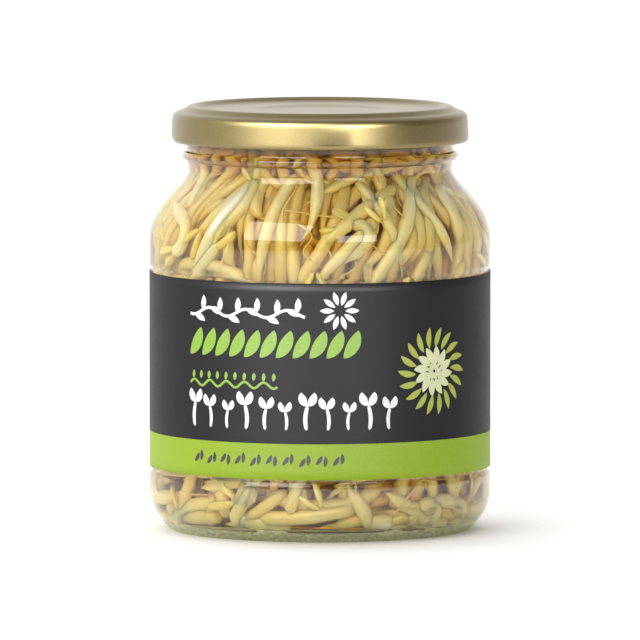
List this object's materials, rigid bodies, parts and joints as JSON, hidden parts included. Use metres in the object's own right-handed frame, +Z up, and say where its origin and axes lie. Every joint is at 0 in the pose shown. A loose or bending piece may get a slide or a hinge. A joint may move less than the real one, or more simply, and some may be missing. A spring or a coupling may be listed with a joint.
{
  "type": "jar of bean sprouts",
  "caption": "Round glass jar packed with bean sprouts in brine, closed by a gold metal twist-off cap and wrapped in a printed paper label.",
  "frame": {"origin": "centre of the ring that the jar stands on, on the surface", "axes": "+Z up through the lid, -Y out of the middle of the label's front"},
  "size_m": [0.08, 0.0802, 0.0995],
  "materials": {
    "glass": "clear, fire polished",
    "label_paper": "satin printed paper",
    "sprout": "wet, translucent",
    "brine": "clear liquid",
    "gold_lacquer": "satin gold lacquer",
    "sealing_compound": "matte"
  },
  "bodies": {
    "jar": {"jar_glass": "glass", "label": "label_paper", "sprouts": "sprout", "brine": "brine"},
    "lid": {"lid_cap": "gold_lacquer", "lid_liner": "sealing_compound"}
  },
  "joints": [
    {"name": "lid_twist", "type": "hinge", "parent": "jar", "child": "lid", "pos_m": [0, 0, 0.095], "axis": [0, 0, 1], "range_deg": [0, 60]}
  ]
}
